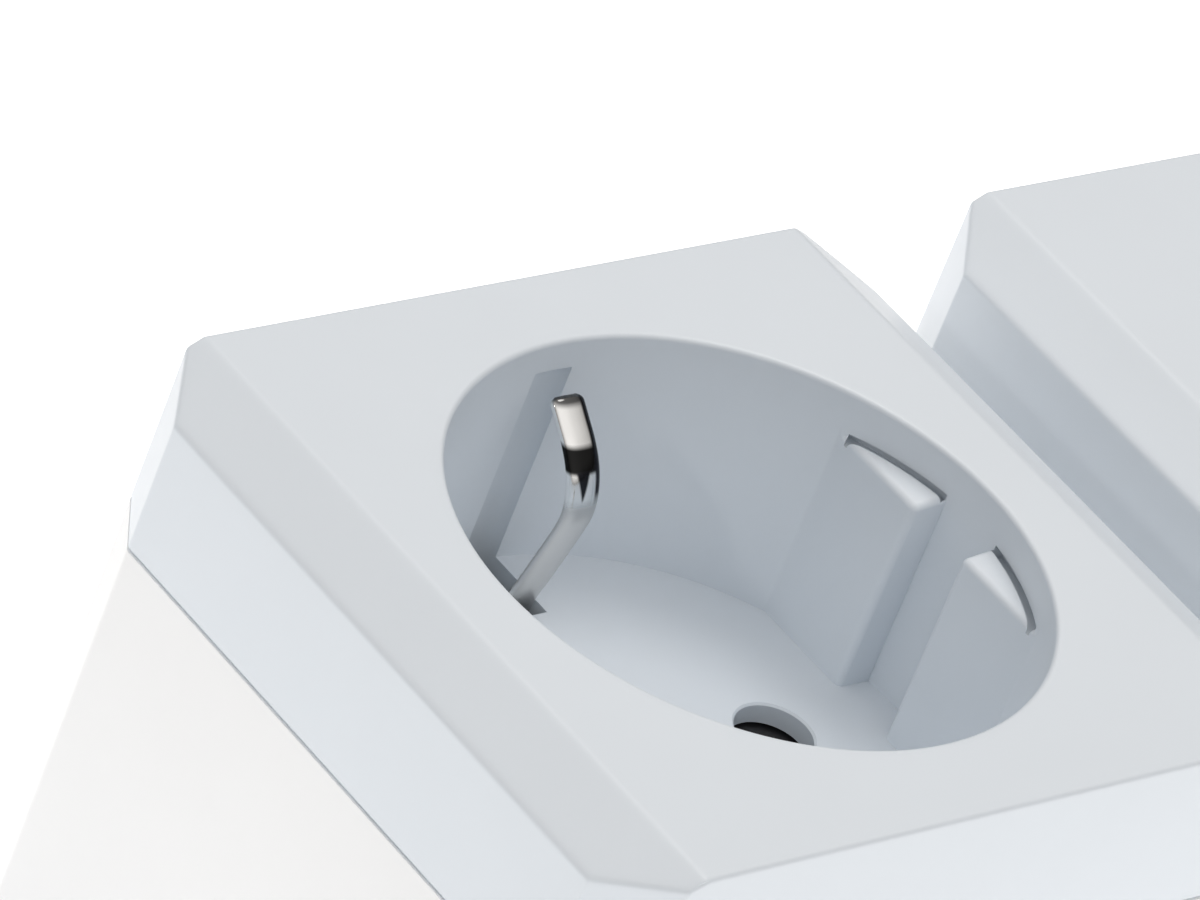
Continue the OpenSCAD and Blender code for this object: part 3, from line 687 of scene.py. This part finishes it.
def build_clip(i, side, word):
    """The bent strip with the round root that it turns on, for one side of one socket."""
    points = clip_path()
    loops = []
    count = len(points)
    for k, p in enumerate(points):
        ahead, behind = points[min(k + 1, count - 1)], points[max(k - 1, 0)]
        along = (ahead - behind) / np.linalg.norm(ahead - behind)
        across = np.array([-along[1], along[0]])
        # the strip's width and thickness round off towards its tip
        from_tip = np.linalg.norm(p - points[-1])
        taper = min(1.0, math.sqrt(max(0.06, 1 - (1 - min(from_tip / 0.55, 1)) ** 2)))
        loops.append([(SOCKET_X[i] + w * (0.55 + 0.45 * taper), side * (p[0] + across[0] * t * taper),
                       p[1] + across[1] * t * taper) for w, t in clip_section(CLIP_W, CLIP_T)])
    bm = loops_to_bmesh(loops)
    root = bmesh.new()
    half, soft = CLIP_W / 2, 0.2
    turned(root, [(0.3, -half), (ROOT_R, soft - half), (ROOT_R, half - soft), (0.3, half)], (0, 0), 24)
    for v in root.verts:
        v.co = Vector((v.co.z + SOCKET_X[i] * MM, v.co.x + side * ROOT_Y * MM, v.co.y + ROOT_Z * MM))
    bmesh.ops.recalc_face_normals(root, faces=root.faces)
    merge(bm, root)
    name = f"clip_{word}_{i}"
    clip = bpy.data.meshes.new(name)
    bm.to_mesh(clip)
    bm.free()
    body = f"earth_clip_{word}_{i}"
    finish_piece(clip, name, "clip_nickel", body, body, 60)


# ---------------------------------------------------------------- carried-over CAD nodes


def soften(node, width):
    """Rounds a CAD node's hard edges with modifiers only: weld, clear flat faces, bevel, weighted normals."""
    piece = NODES[node]
    weld = piece.modifiers.new("weld", "WELD")
    weld.merge_threshold = 0.002 * MM
    flat = piece.modifiers.new("flat", "DECIMATE")
    flat.decimate_type = "DISSOLVE"
    flat.angle_limit = math.radians(0.5)
    bevel = piece.modifiers.new("soften", "BEVEL")
    bevel.width = width * MM
    bevel.segments = 3
    bevel.limit_method = "ANGLE"
    bevel.angle_limit = math.radians(30)
    weighted = piece.modifiers.new("weighted", "WEIGHTED_NORMAL")
    weighted.keep_sharp = True


def dress_cad_nodes():
    """Gives every CAD node its material, and the larger mouldings soft edges."""
    slots = {s["node"]: s["material_slot"] for s in frame["record"]["subparts"]}
    for name, piece in NODES.items():
        piece.data.materials.clear()
        piece.data.materials.append(MATERIALS[slots[name]])
    for node in ("base_housing", "bottom_plate"):
        soften(node, 0.25)
    for node in ("cable_gland", "rubber_feet"):
        soften(node, 0.2)


# ---------------------------------------------------------------- floor


def add_floor():
    """A round floor with a painted pool of light: it glows under the block, and its colour and glow fade to
    grey away from it.
    """
    bm = bmesh.new()
    bmesh.ops.create_circle(bm, cap_ends=True, segments=96, radius=4)
    floor = bmesh_object(bm, "floor")
    material, shader = new_material("floor_painted_light", (0.9, 0.9, 0.9), 0.6)
    nodes, links = material.node_tree.nodes, material.node_tree.links
    coordinates = nodes.new("ShaderNodeTexCoord")
    away = nodes.new("ShaderNodeVectorMath")
    away.operation = "LENGTH"
    links.new(coordinates.outputs["Object"], away.inputs[0])
    fade_start, fade_end = 0.2, 0.42
    # painted light: both the floor's colour and its glow fall off with distance from the block
    for socket, near, far in (("Base Color", 0.9, 0.3), ("Emission Color", 1.0, 0.03)):
        fade = nodes.new("ShaderNodeMapRange")
        fade.inputs["From Min"].default_value = fade_start
        fade.inputs["From Max"].default_value = fade_end
        fade.inputs["To Min"].default_value = near
        fade.inputs["To Max"].default_value = far
        links.new(away.outputs["Value"], fade.inputs["Value"])
        links.new(fade.outputs[0], shader.inputs[socket])
    shader.inputs["Emission Strength"].default_value = 0.78
    floor.data.materials.append(material)


bpy.context.scene.view_settings.view_transform = "Standard"
add_camera()
add_world()
add_overhead()
add_well_wash()
dress_cad_nodes()
build_covers()
for way in WAYS:
    build_clip(way, 1, "back")
    build_clip(way, -1, "front")
add_floor()
